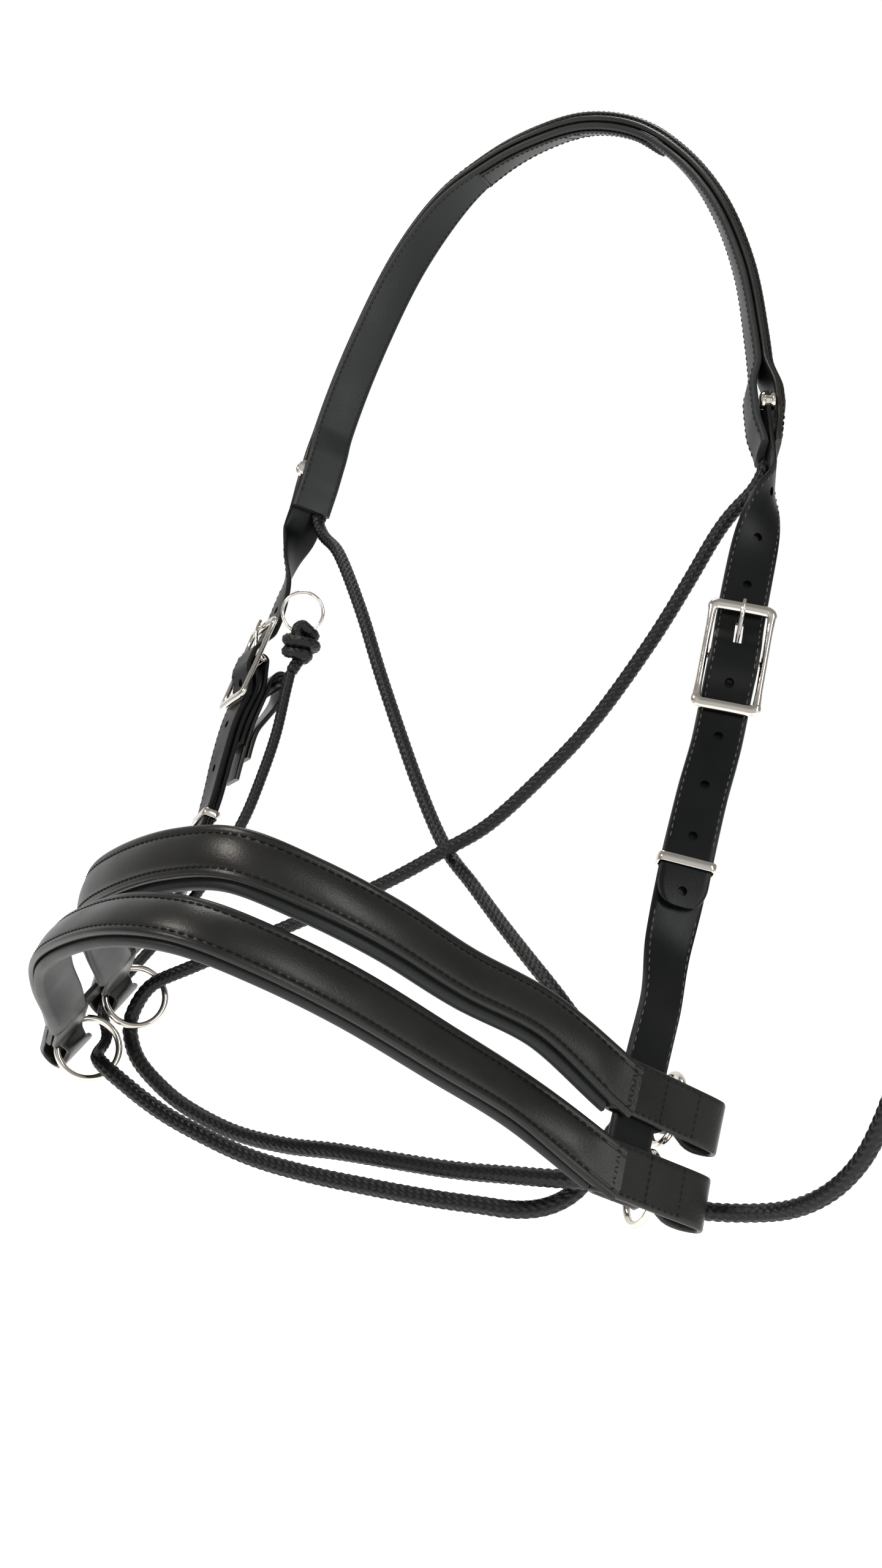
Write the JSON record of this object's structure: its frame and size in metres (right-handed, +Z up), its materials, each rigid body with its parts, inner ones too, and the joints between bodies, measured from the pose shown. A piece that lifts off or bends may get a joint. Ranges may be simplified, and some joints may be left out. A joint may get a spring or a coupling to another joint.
{
  "type": "bitless bridle",
  "caption": "Black leather cross-under bitless bridle: padded double noseband, braided ropes crossing through rings under the jaw, buckled cheek straps and a knotted ring on each rope end.",
  "frame": {"origin": "middle of the crown's underside, where it rests on the horse's poll", "axes": "+Z up, -Y towards the horse's nose, +X towards the horse's left (near) side"},
  "size_m": [0.3951, 0.3589, 0.5058],
  "materials": {
    "strap_black": "satin black grained strap leather",
    "billet_black": "satin black smooth strap leather",
    "pad_black": "soft matt black padding leather",
    "rope_black": "matt black braided cord",
    "chrome": "polished"
  },
  "bodies": {
    "headstall": {"billet_far": "billet_black", "billet_near": "billet_black", "buckle_frame_far": "chrome", "buckle_frame_near": "chrome", "cheek_strap_far": "billet_black", "cheek_strap_near": "billet_black", "crown_lining": "pad_black", "crown_lining_strip": "strap_black", "crown_overlay": "strap_black", "crown_rivet_far": "chrome", "crown_rivet_near": "chrome", "crown_strap": "strap_black", "end_band_lower_far": "strap_black", "end_band_lower_near": "strap_black", "end_band_upper_far": "strap_black", "end_band_upper_near": "strap_black", "hanging_loop_far": "strap_black", "hanging_loop_near": "strap_black", "noseband_lower": "strap_black", "noseband_pad_lower": "pad_black", "noseband_pad_upper": "pad_black", "noseband_upper": "strap_black", "rein_knot_far": "rope_black", "rein_knot_near": "rope_black", "rope_far_crown": "rope_black", "rope_near_crown": "rope_black", "rope_tail_far": "rope_black"},
    "buckle_tongue_near": {"buckle_tongue_near": "chrome"},
    "buckle_tongue_far": {"buckle_tongue_far": "chrome"},
    "keeper_near": {"keeper_near": "chrome"},
    "keeper_far": {"keeper_far": "chrome"},
    "nose_ring_upper_near": {"nose_ring_upper_near": "chrome"},
    "nose_ring_upper_far": {"nose_ring_upper_far": "chrome"},
    "nose_ring_lower_near": {"nose_ring_lower_near": "chrome"},
    "nose_ring_lower_far": {"nose_ring_lower_far": "chrome"},
    "rein_ring_near": {"rein_ring_near": "chrome"},
    "rein_ring_far": {"rein_ring_far": "chrome"}
  },
  "joints": [
    {"name": "buckle_tongue_near_hinge", "type": "hinge", "parent": "headstall", "child": "buckle_tongue_near", "pos_m": [0.127, -0.11455, -0.2782], "axis": [0.8669, 0.4586, -0.1952], "range_deg": [0, 8]},
    {"name": "keeper_near_slide", "type": "slide", "parent": "headstall", "child": "keeper_near", "axis": [0.0182, -0.4488, -0.8934], "range_m": [-0.003, 0.003]},
    {"name": "nose_ring_upper_near_turn", "type": "hinge", "parent": "headstall", "child": "nose_ring_upper_near", "pos_m": [0.12538, -0.17216, -0.4507], "axis": [0.6598, 0.6653, -0.3495], "continuous": true},
    {"name": "nose_ring_lower_near_turn", "type": "hinge", "parent": "headstall", "child": "nose_ring_lower_near", "pos_m": [0.12435, -0.18942, -0.47706], "axis": [0.6582, 0.6817, -0.3193], "continuous": true},
    {"name": "buckle_tongue_far_hinge", "type": "hinge", "parent": "headstall", "child": "buckle_tongue_far", "pos_m": [-0.128, -0.11198, -0.27063], "axis": [0.8857, -0.3893, 0.2528], "range_deg": [0, 8]},
    {"name": "keeper_far_slide", "type": "slide", "parent": "headstall", "child": "keeper_far", "axis": [0.027, -0.4578, -0.8886], "range_m": [-0.003, 0.003]},
    {"name": "nose_ring_upper_far_turn", "type": "hinge", "parent": "headstall", "child": "nose_ring_upper_far", "pos_m": [-0.12933, -0.19269, -0.42442], "axis": [-0.7607, 0.5322, -0.3717], "continuous": true},
    {"name": "nose_ring_lower_far_turn", "type": "hinge", "parent": "headstall", "child": "nose_ring_lower_far", "pos_m": [-0.13557, -0.21561, -0.44509], "axis": [-0.7589, 0.5465, -0.3541], "continuous": true},
    {"name": "rein_ring_near_turn", "type": "hinge", "parent": "headstall", "child": "rein_ring_near", "pos_m": [0.224, -0.175, -0.3893], "axis": [-0.4061, 0.9138, 0], "continuous": true},
    {"name": "rein_ring_far_turn", "type": "hinge", "parent": "headstall", "child": "rein_ring_far", "pos_m": [-0.0995, -0.1095, -0.2453], "axis": [-0.6112, 0.7915, 0], "continuous": true}
  ]
}
